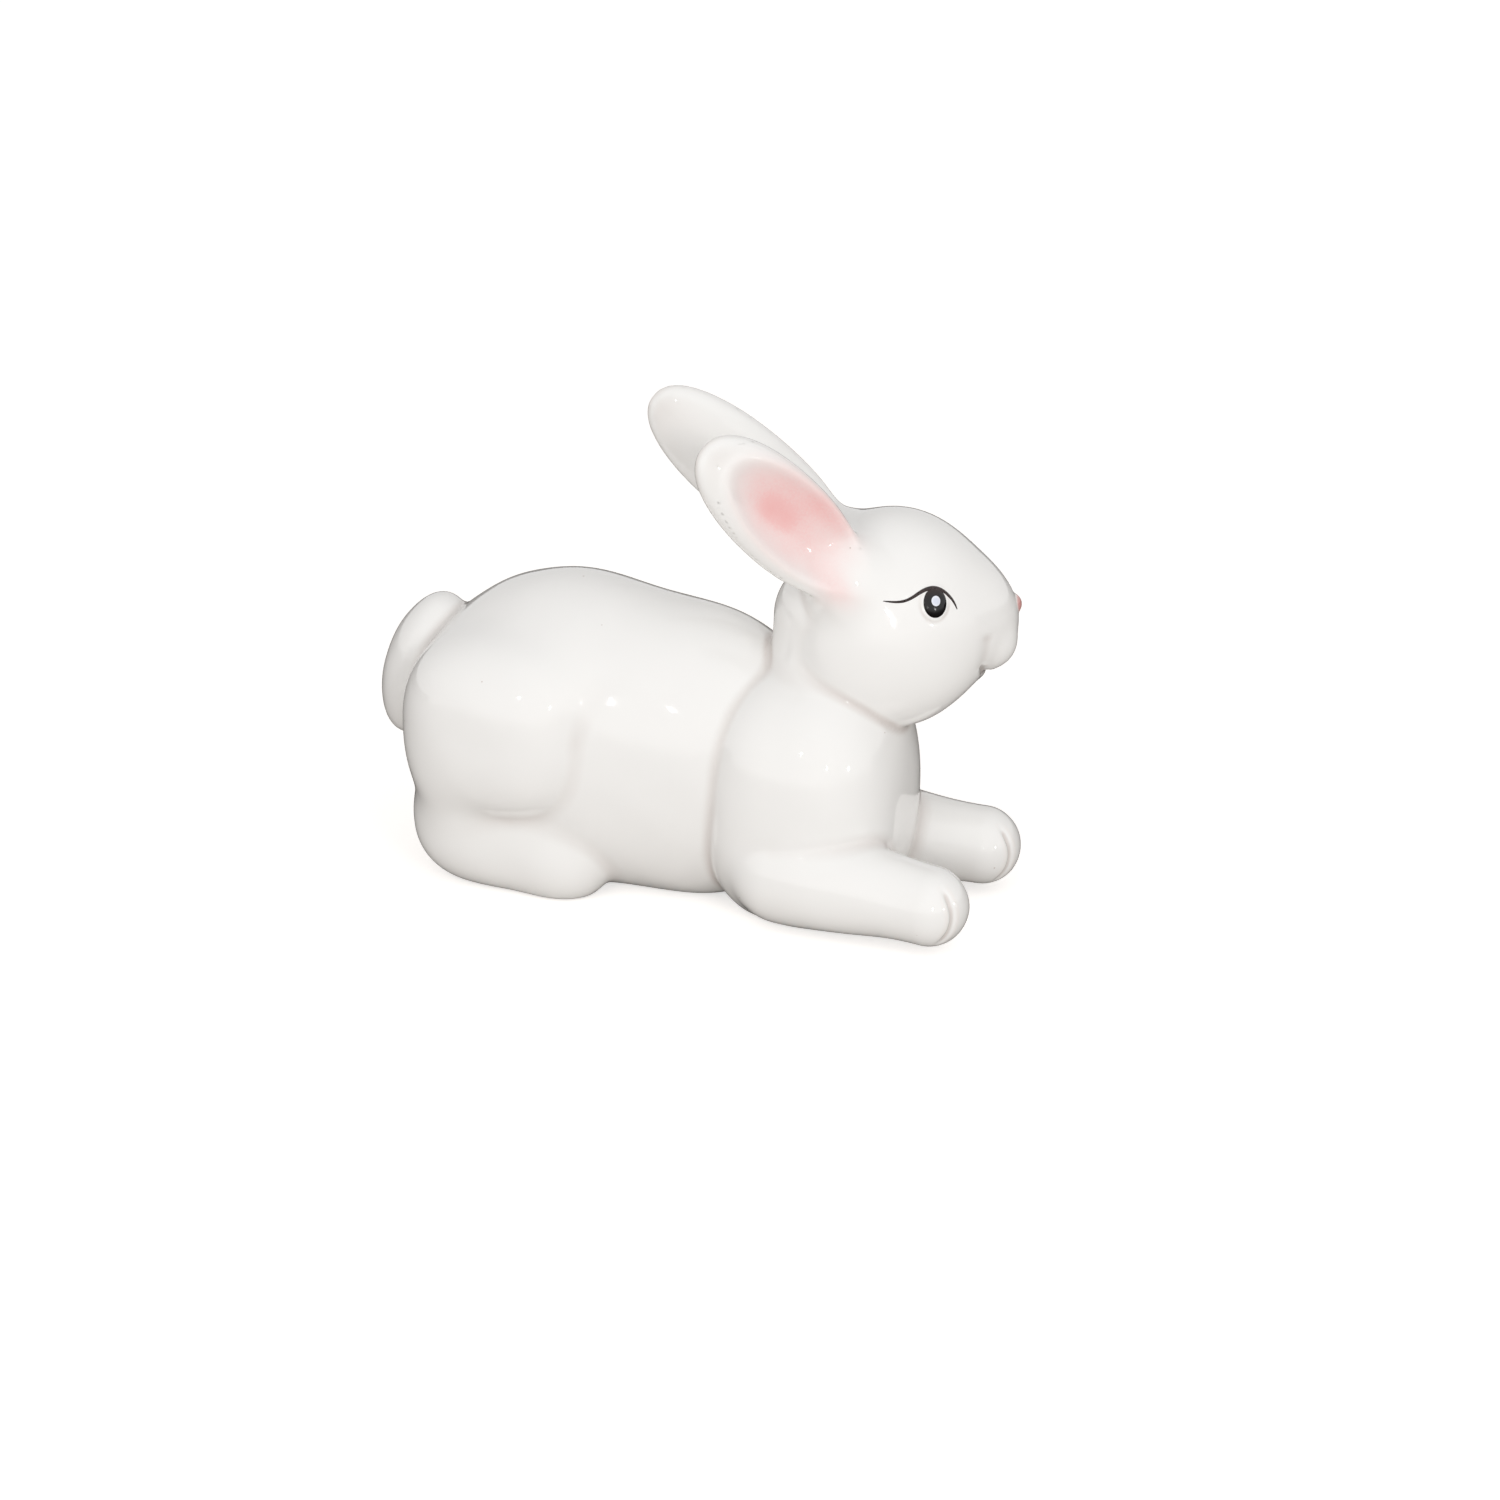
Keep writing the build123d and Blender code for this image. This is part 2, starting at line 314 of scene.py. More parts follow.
def ear(points, side):
    middle, length, axes = ear_place(side)
    local = to_head(points)
    leaf = egg(local, middle, (length / 2 + ear_extra, ear_width, ear_thickness), axes, ear_fullness)
    hollow = middle + axes[2] * scoop_lift - axes[0] * scoop_slide - axes[1] * side * scoop_shift
    scoop = egg(local, hollow, (length / 2 + scoop_extra, scoop_width, scoop_depth), axes)
    return -merge(-leaf, scoop, scoop_edge)


# Eye swellings: a low swelling in the clay carries each painted eye, with a
# shallow trough round it, deepest below the eye, in which the glaze gathers. The
# grey of that gathered glaze is painted shade: a crescent of shadow under each eye.
eye_forward, eye_up = 5.5, 6.2
eye_half_width, eye_half_height = 2.75, 3.3
swelling, swelling_size = 0.3, 1.1
trough, trough_place, trough_width = 0.1, 1.26, 0.14
trough_below, trough_fade = 1.1, 0.9
eye_reach, ring_reach = 6, 4
halvings = 40


def eye_place(side):
    """Spot of the eye on the head, and its directions: forwards, up and outwards."""
    low, high = 5.0, 30.0
    for _ in range(halvings):
        middle = (low + high) / 2
        inside = skull(from_head([(eye_forward, side * middle, eye_up)]))[0] < 0
        low, high = (middle, high) if inside else (low, middle)
    spot = from_head((eye_forward, side * low, eye_up))
    outward = unit(probed(skull, spot[None])[1])[0]
    forward = head_axes[0] - outward * (head_axes[0] @ outward)
    forward /= np.linalg.norm(forward)
    upward = np.cross(outward, forward) * -side
    return spot, np.array([forward, upward, outward])


eye_places = {side: eye_place(side) for side in (-1, 1)}


def eye_relief(points, side):
    """How far the clay round an eye is carved in; negative where it swells."""
    spot, axes = eye_places[side]
    local = (points - spot) @ axes.T
    ring = np.sqrt((local[..., 0] / eye_half_width) ** 2 + (local[..., 1] / eye_half_height) ** 2)
    near = (np.abs(local[..., 2]) < eye_reach) & (ring < ring_reach)
    relief = trough * np.exp(-((ring - trough_place) / trough_width) ** 2)
    relief = relief * (trough_below - trough_fade * ramp(local[..., 1], -eye_half_height, eye_half_height))
    return np.where(near, relief - swelling * np.exp(-(ring / swelling_size) ** 4), 0)


# Luting and glaze: the castings are joined with slip, sponged smooth, dipped in
# a clear glaze and fired to one glossy skin, with the foot wiped bare. Each one is
# cut from that skin with a wall of its own, apart from the solid ears.
sides = {"left": 1, "right": -1}
far = 25.0
hand_waver = 0.12
waver_waves = [((0.21, 0.05, 0.13), 0), ((-0.07, 0.19, 0.11), 1), ((0.09, -0.1, 0.2), 2)]


def within(points, space, form, *rest):
    """A form read only inside a box round it; elsewhere it counts as far away."""
    low, high = space
    inside = ((points > low) & (points < high)).all(-1)
    value = np.full(points.shape[:-1], far)
    if inside.any():
        value[inside] = form(points[inside], *rest)
    return value


def head_and_ears(points, castings):
    """The whole head with its eye swellings and mouth; notes the head's own castings."""
    low, high = head_space
    inside = ((points > low) & (points < high)).all(-1)
    spots = points[inside]
    for name in ("head_casting", "left_ear", "right_ear"):
        castings[name] = np.full(points.shape[:-1], far)
    whole = np.full(points.shape[:-1], far)
    if not len(spots):
        return whole
    head = skull(spots)
    castings["head_casting"][inside] = head
    for name, side in sides.items():
        leaf = ear(spots, side)
        castings[name + "_ear"][inside] = leaf
        head = merge(head, leaf, ear_crease) + eye_relief(spots, side)
    whole[inside] = head + mouth_cut(spots)
    return whole


def clay(points):
    """Distance to the luted rabbit, and to each casting by itself."""
    castings, flank = {}, trunk(points)
    body = flank
    fairing = haunch_crease + haunch_fairing * ramp(points[..., 2], fairing_low, fairing_high)
    heel_crease = foot_crease + heel_fairing * ramp(-points[..., 0], heel_front, heel_back)
    for name, side in sides.items():
        thigh = within(points, haunch_space, modelled, haunch_forms, side)
        castings[name + "_haunch"] = thigh
        body = merge(body, thigh, fairing)
    for name, side in sides.items():
        foot = within(points, foot_space, modelled, hind_foot_forms, side)
        castings[name + "_hind_foot"] = foot
        body = merge(body, foot, heel_crease)
    castings["tail"] = within(points, tail_space, modelled, tail_forms)
    body = merge(body, castings["tail"], tail_crease)
    breast = chest(points)
    castings["torso_casting"] = np.minimum(flank, breast)
    body = merge(body, breast, shoulder_crease)
    for name, side in sides.items():
        leg = within(points, foreleg_space, foreleg, side)
        castings[name + "_foreleg"] = leg
        body = merge(body, leg, foreleg_crease) + toe_grooves(points, side)
    body = merge(body, head_and_ears(points, castings), neck_crease)
    body = body + hand_waver * math.prod(np.sin(points @ wave + phase) for wave, phase in waver_waves)
    return -merge(-body, points[..., 2], base_round), castings


def rabbit(points):
    return clay(points)[0]


skin_step = 0.65
block, block_reach, batch = 8, 1.6, 400


def grid_field(form, low, blocks, step):
    """The form's values on a grid, read cell by cell near its surface and once a block elsewhere."""
    centres = [low[a] + (np.arange(blocks[a]) * block + (block - 1) / 2) * step for a in range(3)]
    coarse = form(np.stack(np.meshgrid(*centres, indexing="ij"), -1).reshape(-1, 3))
    field = coarse.reshape(blocks)
    for axis in range(3):
        field = np.repeat(field, block, axis)
    field = field.astype(np.float32)
    near = np.stack(np.unravel_index(np.where(np.abs(coarse) < block * step * block_reach)[0], blocks), -1)
    cell = np.stack(np.meshgrid(*[np.arange(block)] * 3, indexing="ij"), -1).reshape(-1, 3)
    for start in range(0, len(near), batch):
        cells = (near[start:start + batch, None, :] * block + cell[None]).reshape(-1, 3)
        field[cells[:, 0], cells[:, 1], cells[:, 2]] = form(low + cells * step)
    return field


def netted(form, low, high, step):
    """A closed quad mesh over the form's surface, one corner for each grid cell that it crosses."""
    low, high = np.array(low, float), np.array(high, float)
    blocks = np.ceil((high - low) / step / block).astype(int)
    count = blocks * block
    field = grid_field(form, low, blocks, step)
    inside = field < 0
    total = np.zeros(tuple(count - 1) + (3,), np.float32)
    hits = np.zeros(tuple(count - 1), np.float32)
    found = []
    for axis in range(3):
        here, there = [slice(None)] * 3, [slice(None)] * 3
        here[axis], there[axis] = slice(0, -1), slice(1, None)
        edges = np.stack(np.where(inside[tuple(here)] != inside[tuple(there)]), -1)
        edges = edges[(edges.min(1) >= 1) & (edges < count - 2).all(1)]
        near_end = field[edges[:, 0], edges[:, 1], edges[:, 2]]
        ahead = edges.copy()
        ahead[:, axis] += 1
        far_end = field[ahead[:, 0], ahead[:, 1], ahead[:, 2]]
        crossing = edges.astype(np.float32)
        crossing[:, axis] += near_end / (near_end - far_end)
        b, c = (axis + 1) % 3, (axis + 2) % 3
        corners = []
        for back_b, back_c in ((1, 1), (0, 1), (0, 0), (1, 0)):
            cell = edges.copy()
            cell[:, b] -= back_b
            cell[:, c] -= back_c
            np.add.at(total, (cell[:, 0], cell[:, 1], cell[:, 2]), crossing)
            np.add.at(hits, (cell[:, 0], cell[:, 1], cell[:, 2]), 1)
            corners.append(cell)
        found.append((corners, near_end > 0))
    used = hits > 0
    number = -np.ones(hits.shape, np.int64)
    number[used] = np.arange(used.sum())
    points = low + (total[used] / hits[used][:, None]) * step
    quads = []
    for corners, flip in found:
        quad = np.stack([number[c[:, 0], c[:, 1], c[:, 2]] for c in corners], -1)
        quad[flip] = quad[flip][:, ::-1]
        quads.append(quad)
    return points.astype(float), np.concatenate(quads)


def refined(points, faces, zones):
    """The mesh with its faces near each zone's centre split in four."""
    mesh = bpy.data.meshes.new("refining")
    mesh.from_pydata(points.tolist(), [], faces.tolist())
    net = bmesh.new()
    net.from_mesh(mesh)
    bpy.data.meshes.remove(mesh)
    chosen = set()
    for face in net.faces:
        middle = face.calc_center_median()
        if any((middle - centre).length < radius for centre, radius in zones):
            chosen.update(face.edges)
    bmesh.ops.subdivide_edges(net, edges=list(chosen), cuts=1, use_grid_fill=True)
    bmesh.ops.triangulate(net, faces=[face for face in net.faces if len(face.verts) > 4])
    net.verts.index_update()
    points = np.array([corner.co[:] for corner in net.verts])
    faces = np.array([[v.index for v in f.verts] + [-1] * (4 - len(f.verts)) for f in net.faces])
    net.free()
    return points, faces


net_low, net_high = (-70, -44, -4), (100, 48, 132)
muzzle_zones = [((20.5, 0, -10), 9.0), ((25, 0, 0), 6.0)]
eye_zone_radius = 7.5
paw_zone_ahead, paw_zone_radius = 5, 9.5
points, faces = netted(rabbit, net_low, net_high, skin_step)
points = settled(rabbit, points)
zones = [(Vector(from_head(place)), radius) for place, radius in muzzle_zones]
zones += [(Vector(eye_places[side][0]), eye_zone_radius) for side in (-1, 1)]
zones += [(Vector((paw[0] + paw_zone_ahead, side * paw[1], paw[2])), paw_zone_radius) for side in (-1, 1)]
points, faces = refined(points, faces, zones)
points = settled(rabbit, points)

# the vent: its faces come out of the base and its rim is rounded to a circle
present = faces >= 0
weight = present[..., None] / present.sum(1)[:, None, None]
middles = (points[faces] * weight).sum(1)
off_vent = np.hypot(middles[:, 0] - vent_centre[0], middles[:, 1] - vent_centre[1])
open_face = (off_vent < vent_radius) & (middles[:, 2] < base_round)
rim = np.intersect1d(faces[open_face], faces[~open_face & (off_vent < 2 * vent_radius)])
rim = rim[(rim >= 0) & (points[rim, 2] < base_round)]
spread = points[rim, :2] - vent_centre
points[rim, :2] = vent_centre + spread * (vent_radius / np.linalg.norm(spread, axis=1))[:, None]
faces, middles = faces[~open_face], middles[~open_face]

nearest = clay(middles)[1]
casting_names = list(nearest)
owner = np.stack([nearest[name] for name in casting_names], -1).argmin(1)


def owned(name):
    """Which faces belong to that casting."""
    return owner == casting_names.index(name)


def edge_table(faces):
    """Each directed edge of the faces, with the number of its face."""
    starts, ends, numbers = [], [], []
    for corner in range(4):
        start = faces[:, corner]
        following = faces[:, (corner + 1) % 4]
        end = np.where(following < 0, faces[:, 0], following)
        real = start >= 0
        starts.append(start[real])
        ends.append(end[real])
        numbers.append(np.where(real)[0])
    return np.concatenate(starts), np.concatenate(ends), np.concatenate(numbers)


# the joints: corners between two castings slide on to the line where both are equally near
starts, ends, numbers = edge_table(faces)
key = np.minimum(starts, ends) * len(points) + np.maximum(starts, ends)
order = np.argsort(key, kind="stable")
same = key[order][1:] == key[order][:-1]
first, second = numbers[order][:-1][same], numbers[order][1:][same]
joint = owner[first] != owner[second]
ends_of_joint = [starts[order][:-1][same][joint], ends[order][:-1][same][joint]]
pairs = np.sort(np.stack([owner[first][joint], owner[second][joint]], -1), 1)
joint_code = pairs[:, 0] * len(casting_names) + pairs[:, 1]
pair_code = np.zeros(len(points), int) - 1
junction = np.zeros(len(points), bool)
for corners in ends_of_joint:
    junction[corners[(pair_code[corners] >= 0) & (pair_code[corners] != joint_code)]] = True
    pair_code[corners] = joint_code
sliding = np.where((pair_code >= 0) & ~junction)[0]
one, other = pair_code[sliding] // len(casting_names), pair_code[sliding] % len(casting_names)
home = points[sliding].copy()


def lead(spots):
    """How much nearer the second casting of each joint is than the first."""
    castings = clay(spots)[1]
    table = np.stack([castings[name] for name in casting_names], -1)
    rows = np.arange(len(spots))
    return table[rows, one] - table[rows, other]


least_tilt, slide_share = 0.05, 0.42
for _ in range(3):
    spots = points[sliding]
    normal = unit(probed(rabbit, spots)[1])
    gap, tilt = probed(lead, spots)
    tilt -= (tilt * normal).sum(1)[:, None] * normal
    move = -(gap / np.maximum((tilt * tilt).sum(1), least_tilt))[:, None] * tilt
    total_move = spots + move - home
    length = np.linalg.norm(total_move, axis=1)[:, None]
    points[sliding] = home + total_move * np.minimum(1, slide_share * skin_step / np.maximum(length, tiny))
points[sliding] = settled(rabbit, points[sliding])

# glaze pools where the skin is hollow, and the grey it gives there is partly painted shade in the hollow; it
# thins where the skin is sharp, read over a short reach
first_dip_share = 0.6
bend_reach = 1.2
pool_and_shade_gain, thin_gain, thin_from = 2.2, 0.9, 0.25
normals = unit(probed(rabbit, points)[1])
inner = settled(rabbit, points - normals * wall * first_dip_share, -wall, 2)
inner_normals = unit(probed(rabbit, inner)[1])
bend = sum(rabbit(points + bend_reach * axis) + rabbit(points - bend_reach * axis) for axis in np.eye(3))
bend = (bend - 6 * rabbit(points)) / bend_reach ** 2
pooling_and_crease_shade = np.clip(-bend * pool_and_shade_gain, 0, 1)
thinning = np.clip(bend * thin_gain - thin_from, 0, 1)


def linear(code):
    """Scene colour of a written sRGB colour such as F6F5F2."""
    parts = [int(code[i:i + 2], 16) / 255 for i in (0, 2, 4)]
    return tuple(c / 12.92 if c <= 0.04045 else ((c + 0.055) / 1.055) ** 2.4 for c in parts) + (1.0,)


def per(size):
    """Pattern scale for features of that real size in millimetres."""
    return 1000 / size


def blank(name):
    """A new material, with its node tree and its shader."""
    material = bpy.data.materials.new(name)
    material.use_nodes = True
    return material, material.node_tree, material.node_tree.nodes["Principled BSDF"]


def add(tree, kind, values={}, links={}, **settings):
    """Adds a node with its settings, socket values and links from other sockets."""
    node = tree.nodes.new(kind)
    for name, value in settings.items():
        setattr(node, name, value)
    for name, value in values.items():
        node.inputs[name].default_value = value
    for name, socket in links.items():
        tree.links.new(socket, node.inputs[name])
    return node


def mixed(tree, share, first, second):
    """A colour between two others; each is a socket or a colour."""
    node = add(tree, "ShaderNodeMix", data_type="RGBA")
    for place, value in ((0, share), (6, first), (7, second)):
        if isinstance(value, (tuple, float, int)):
            node.inputs[place].default_value = value
        else:
            tree.links.new(value, node.inputs[place])
    return node.outputs[2]


drift_size, mist_size = 5, 0.5
drift_swing, mist_swing, pink_cover = (0.8, 1.2), (0.86, 1.14), 1.6


def sprayed_over(tree, place, body, strong, soft):
    """Pink underglaze on the body's colour, as strong as the spray that reached each place,
    mottled and speckled by the gun."""
    level = add(tree, "ShaderNodeAttribute", attribute_name="spray").outputs["Fac"]
    drift = add(tree, "ShaderNodeTexNoise", {"Scale": per(drift_size), "Detail": 3.0}, {"Vector": place})
    mist = add(tree, "ShaderNodeTexNoise", {"Scale": per(mist_size), "Detail": 1.0}, {"Vector": place})
    uneven = add(tree, "ShaderNodeMapRange", {"To Min": drift_swing[0], "To Max": drift_swing[1]},
                 {"Value": drift.outputs["Fac"]})
    speckled = add(tree, "ShaderNodeMapRange", {"To Min": mist_swing[0], "To Max": mist_swing[1]},
                   {"Value": mist.outputs["Fac"]})
    both = add(tree, "ShaderNodeMath", links={0: uneven.outputs[0], 1: speckled.outputs[0]},
               operation="MULTIPLY")
    share = add(tree, "ShaderNodeMath", links={0: level, 1: both.outputs[0]}, operation="MULTIPLY",
                use_clamp=True)
    pink = mixed(tree, share.outputs[0], linear(soft), linear(strong))
    cover = add(tree, "ShaderNodeMath", {1: pink_cover}, {0: share.outputs[0]}, operation="MULTIPLY",
                use_clamp=True)
    return mixed(tree, cover.outputs[0], body, pink)


mottle_size, speck_spacing, grit_size, haze_size, peel_size = 22, 7.2, 0.6, 9, 4.5
speck_share, speck_pick, speck_strength = 0.034, 0.62, 0.42
wiped_to, glazed_from = 0.0002, 0.0006
gloss_range, bare_roughness = (0.05, 0.1), 0.75
peel_strength, peel_height, grain_height = 0.35, 0.00006, 0.00015
glass_ior = 1.5


def fired_glaze(name, strong, soft):
    """Clear gloss glaze over white earthenware: a warm white that greys in a crease, partly where the glaze
    pools and partly as painted shade, and warms where it thins on an edge, with iron specks and a faint
    orange peel.
    Pink underglaze lies on the clay where it was sprayed. The wiped foot shows bare clay."""
    material, tree, shader = blank(name)
    place = add(tree, "ShaderNodeTexCoord").outputs["Object"]

    mottle = add(tree, "ShaderNodeTexNoise", {"Scale": per(mottle_size), "Detail": 2.0}, {"Vector": place})
    white = mixed(tree, mottle.outputs["Fac"], linear("F3F2F0"), linear("F8F7F5"))
    # the grey in hollows is partly pooled glaze and partly painted crease shade
    pool_and_shade = add(tree, "ShaderNodeAttribute", attribute_name="pooling_and_crease_shade").outputs["Fac"]
    pooled_and_shaded = mixed(tree, pool_and_shade, white, linear("E1DBD7"))
    thin = add(tree, "ShaderNodeAttribute", attribute_name="thinning").outputs["Fac"]
    body = sprayed_over(tree, place, mixed(tree, thin, pooled_and_shaded, linear("F3EAE4")), strong, soft)

    cells = add(tree, "ShaderNodeTexVoronoi", {"Scale": per(speck_spacing)}, {"Vector": place})
    dot = add(tree, "ShaderNodeMath", {1: speck_share}, {0: cells.outputs["Distance"]}, operation="LESS_THAN")
    pick = add(tree, "ShaderNodeSeparateColor", links={"Color": cells.outputs["Color"]})
    rare = add(tree, "ShaderNodeMath", {1: speck_pick}, {0: pick.outputs["Red"]}, operation="GREATER_THAN")
    speck = add(tree, "ShaderNodeMath", links={0: dot.outputs[0], 1: rare.outputs[0]}, operation="MULTIPLY")
    faint = add(tree, "ShaderNodeMath", {1: speck_strength}, {0: speck.outputs[0]}, operation="MULTIPLY")
    specked = mixed(tree, faint.outputs[0], body, linear("AD9488"))

    height = add(tree, "ShaderNodeSeparateXYZ", links={"Vector": place}).outputs["Z"]
    wiping = {"From Min": wiped_to, "From Max": glazed_from, "To Min": 1.0, "To Max": 0.0}
    foot = add(tree, "ShaderNodeMapRange", wiping, {"Value": height})
    grit = add(tree, "ShaderNodeTexNoise", {"Scale": per(grit_size), "Detail": 3.0}, {"Vector": place})
    bisque = mixed(tree, grit.outputs["Fac"], linear("D9CDBC"), linear("EFE7DB"))
    tree.links.new(mixed(tree, foot.outputs[0], specked, bisque), shader.inputs["Base Color"])

    haze = add(tree, "ShaderNodeTexNoise", {"Scale": per(haze_size), "Detail": 2.0}, {"Vector": place})
    gloss = add(tree, "ShaderNodeMapRange", {"To Min": gloss_range[0], "To Max": gloss_range[1]},
                {"Value": haze.outputs["Fac"]})
    rough = add(tree, "ShaderNodeMix", {3: bare_roughness}, {0: foot.outputs[0], 2: gloss.outputs[0]},
                data_type="FLOAT")
    tree.links.new(rough.outputs[0], shader.inputs["Roughness"])
    peel = add(tree, "ShaderNodeTexNoise", {"Scale": per(peel_size), "Detail": 1.0}, {"Vector": place})
    skin = add(tree, "ShaderNodeBump", {"Strength": peel_strength, "Distance": peel_height},
               {"Height": peel.outputs["Fac"]})
    grain = add(tree, "ShaderNodeBump", {"Distance": grain_height},
                {"Height": grit.outputs["Fac"], "Strength": foot.outputs[0], "Normal": skin.outputs[0]})
    tree.links.new(grain.outputs[0], shader.inputs["Normal"])
    shader.inputs["IOR"].default_value = glass_ior
    return material


# the white skin carries the ears' pink too, because the spray drifts past their edges
ear_pinks = "F2B4B2", "F9DEDC"
white_glaze = fired_glaze("clear_glaze_on_white_earthenware", *ear_pinks)


def shown(name, data):
    """An object with that mesh, lamp or camera, put in the scene."""
    thing = bpy.data.objects.new(name, data)
    bpy.context.scene.collection.objects.link(thing)
    return thing


def shape_of(name, points, faces, material, shading=None, marks={}, maps=None):
    """A mesh object in metres from points in millimetres. Shading gives a normal for each face corner."""
    mesh = bpy.data.meshes.new(name)
    mesh.from_pydata((points / 1000).tolist(), [], [[i for i in face if i >= 0] for face in faces.tolist()])
    for mark, values in marks.items():
        mesh.attributes.new(mark, "FLOAT", "POINT").data.foreach_set("value", np.asarray(values, np.float32))
    mesh.materials.append(material)
    mesh.polygons.foreach_set("use_smooth", [True] * len(mesh.polygons))
    if maps is not None:
        layer = mesh.uv_layers.new(name="surface")
        corners = np.zeros(len(mesh.loops), int)
        mesh.loops.foreach_get("vertex_index", corners)
        layer.data.foreach_set("uv", maps[corners].ravel())
    if shading is not None:
        mesh.normals_split_custom_set(shading)
    return shown(name, mesh)


def border_of(faces):
    """Directed edges that only one face has."""
    starts, ends, _ = edge_table(faces)
    span = max(starts.max(), ends.max()) + 1
    alone = ~np.isin(starts * span + ends, ends * span + starts)
    return starts[alone], ends[alone]


def in_reverse(faces):
    """The faces turned over; a triangle keeps its gap at the end."""
    turned_over = faces[:, ::-1].copy()
    three = faces[:, 3] < 0
    turned_over[three] = np.concatenate([faces[three][:, 2::-1], faces[three][:, 3:]], 1)
    return turned_over


def corner_normals(groups):
    """The shading normals of several groups of faces, one for each corner in order."""
    rows = []
    for faces, normals in groups:
        corners = faces[faces >= 0]
        rows.append(normals[corners] if normals is not None else np.zeros((len(corners), 3)))
    return np.concatenate(rows).tolist()


def packed(faces, *tables):
    """The faces renumbered to the points that they use, and those rows of each table."""
    used = np.unique(faces[faces >= 0])
    number = -np.ones(faces.max() + 2, int)
    number[used] = np.arange(len(used))
    return [np.where(faces >= 0, number[faces], -1)] + [table[used] for table in tables]


def firm(region):
    """The region without the faces that bridge its rim, where a colour layer would have no depth."""
    bridging = region
    while bridging.any():
        starts, ends = border_of(faces[region])
        rim = np.union1d(starts, ends)
        following = np.roll(faces, -1, 1)
        following[:, 2] = np.where(faces[:, 3] < 0, faces[:, 0], following[:, 2])
        both = np.isin(faces, rim) & np.isin(following, rim) & (faces >= 0)
        outer = np.isin(faces * len(points) + following, starts * len(points) + ends)
        bridging = region & (both & ~outer).any(1)
        region = region & ~bridging
    return region


# the sprayed colours: how strong the pink is at each corner of the skin, from a few
# passes of the gun, each a cloud given along and across the ear
passes = [
    dict(middle=(-2.5, 1.6), size=(23.0, 12.0), soft=0.5, strength=0.36),
    dict(middle=(1.5, 0.0), size=(8.5, 4.6), soft=1.0, strength=0.26),
    dict(middle=(-1.0, 3.0), size=(17.0, 10.0), soft=1.0, strength=0.22),
    dict(middle=(-10.0, 8.6), size=(15.0, 5.0), soft=1.0, strength=0.2),
    dict(middle=(-21.0, -3.5), size=(10.0, 6.5), soft=1.0, strength=0.42),
]
facing_off, facing_on = -0.1, 0.35
drift_from, drift_to = 1.5, 6.0
root_strength, root_from, root_to = 0.7, -2.0, 4.0
least_pink = 0.004
nose_spot, nose_size = np.array((26.9, 0, -0.1)), np.array((3.0, 3.3, 2.5))
nose_soft_from = 0.55


def coloured(name, pink):
    """The faces of that casting which carry any of the pink."""
    lit = np.where(faces >= 0, pink[faces], 0).max(1) > least_pink
    return firm(owned(name) & lit)


spray = np.zeros(len(points))
sprayed = {}
distances = clay(points)[1]
for name, side in sides.items():
    middle, length, axes = ear_place(side)
    local = (to_head(points) - middle) @ axes.T
    up_ear, across = local[:, 0], local[:, 1] * -side
    facing = (normals @ head_axes.T) @ axes[2]
    pink = np.zeros(len(points))
    for cloud in passes:
        place, size = cloud["middle"], cloud["size"]
        ring = np.hypot((up_ear - place[0]) / size[0], (across - place[1]) / size[1])
        pink = pink + cloud["strength"] * (1 - ramp(ring, 1 - cloud["soft"], 1))
    off_ear = distances[name + "_ear"]
    pink = pink * ramp(facing, facing_off, facing_on) * (1 - ramp(off_ear, drift_from, drift_to))
    past_root = ramp(distances["head_casting"] - off_ear, root_from, root_to)
    pink = pink * (root_strength + (1 - root_strength) * past_root)
    sprayed[name + "_ear_blush"] = coloured(name + "_ear", pink)
    spray = np.maximum(spray, np.clip(pink, 0, 1))
ring = np.sqrt((((to_head(points) - nose_spot) / nose_size) ** 2).sum(1))
nose_pink = 1 - ramp(ring, nose_soft_from, 1.0)
sprayed["nose"] = coloured("head_casting", nose_pink)
spray = np.maximum(spray, nose_pink)

# colour layers lie in the clay like inlays: the casting's surface dips under them
paint_depth = 0.3
shift = len(points)
sunk = points.copy()
painted = np.zeros(len(faces), bool)
rim_corners = np.zeros(len(points), bool)
for region in sprayed.values():
    region_rim = np.union1d(*border_of(faces[region]))
    deep = np.setdiff1d(faces[region][faces[region] >= 0], region_rim)
    sunk[deep] = points[deep] - paint_depth * normals[deep]
    painted |= region
    rim_corners[region_rim] = True
deepened = np.where(painted[:, None] & (faces >= 0), faces + shift, faces)
deepened = np.where((deepened >= shift) & rim_corners[deepened % shift], deepened - shift, deepened)

# an ear is a solid leaf: a fan of faces from one hub closes its root under the head's skin
hub_share = 0.12
hubs = {}
for name, side in sides.items():
    root = points[border_of(faces[owned(name + "_ear")])[0]].mean(0)
    hubs[name + "_ear"] = root - (from_head(ear_place(side)[0]) - root) * hub_share
everything = np.concatenate([points, sunk, inner, list(hubs.values())])
every_normal = np.concatenate([normals, normals, -inner_normals, normals[:len(hubs)]])
unmarked = np.zeros(shift + len(hubs))
every_mark = {
    "pooling_and_crease_shade": np.concatenate([pooling_and_crease_shade, pooling_and_crease_shade, pooling_and_crease_shade, np.zeros(len(hubs))]),
    "thinning": np.concatenate([thinning, thinning, unmarked]),
    "spray": np.concatenate([spray, spray, unmarked]),
}


def fired(name, groups, material):
    """A piece of the fired figurine from groups of faces, with what its glaze reads at each corner."""
    shading = corner_normals(groups)
    shell = np.concatenate([group for group, _ in groups])
    shell, corners, *levels = packed(shell, everything, *every_mark.values())
    return shape_of(name, corners, shell, material, shading, dict(zip(every_mark, levels)))


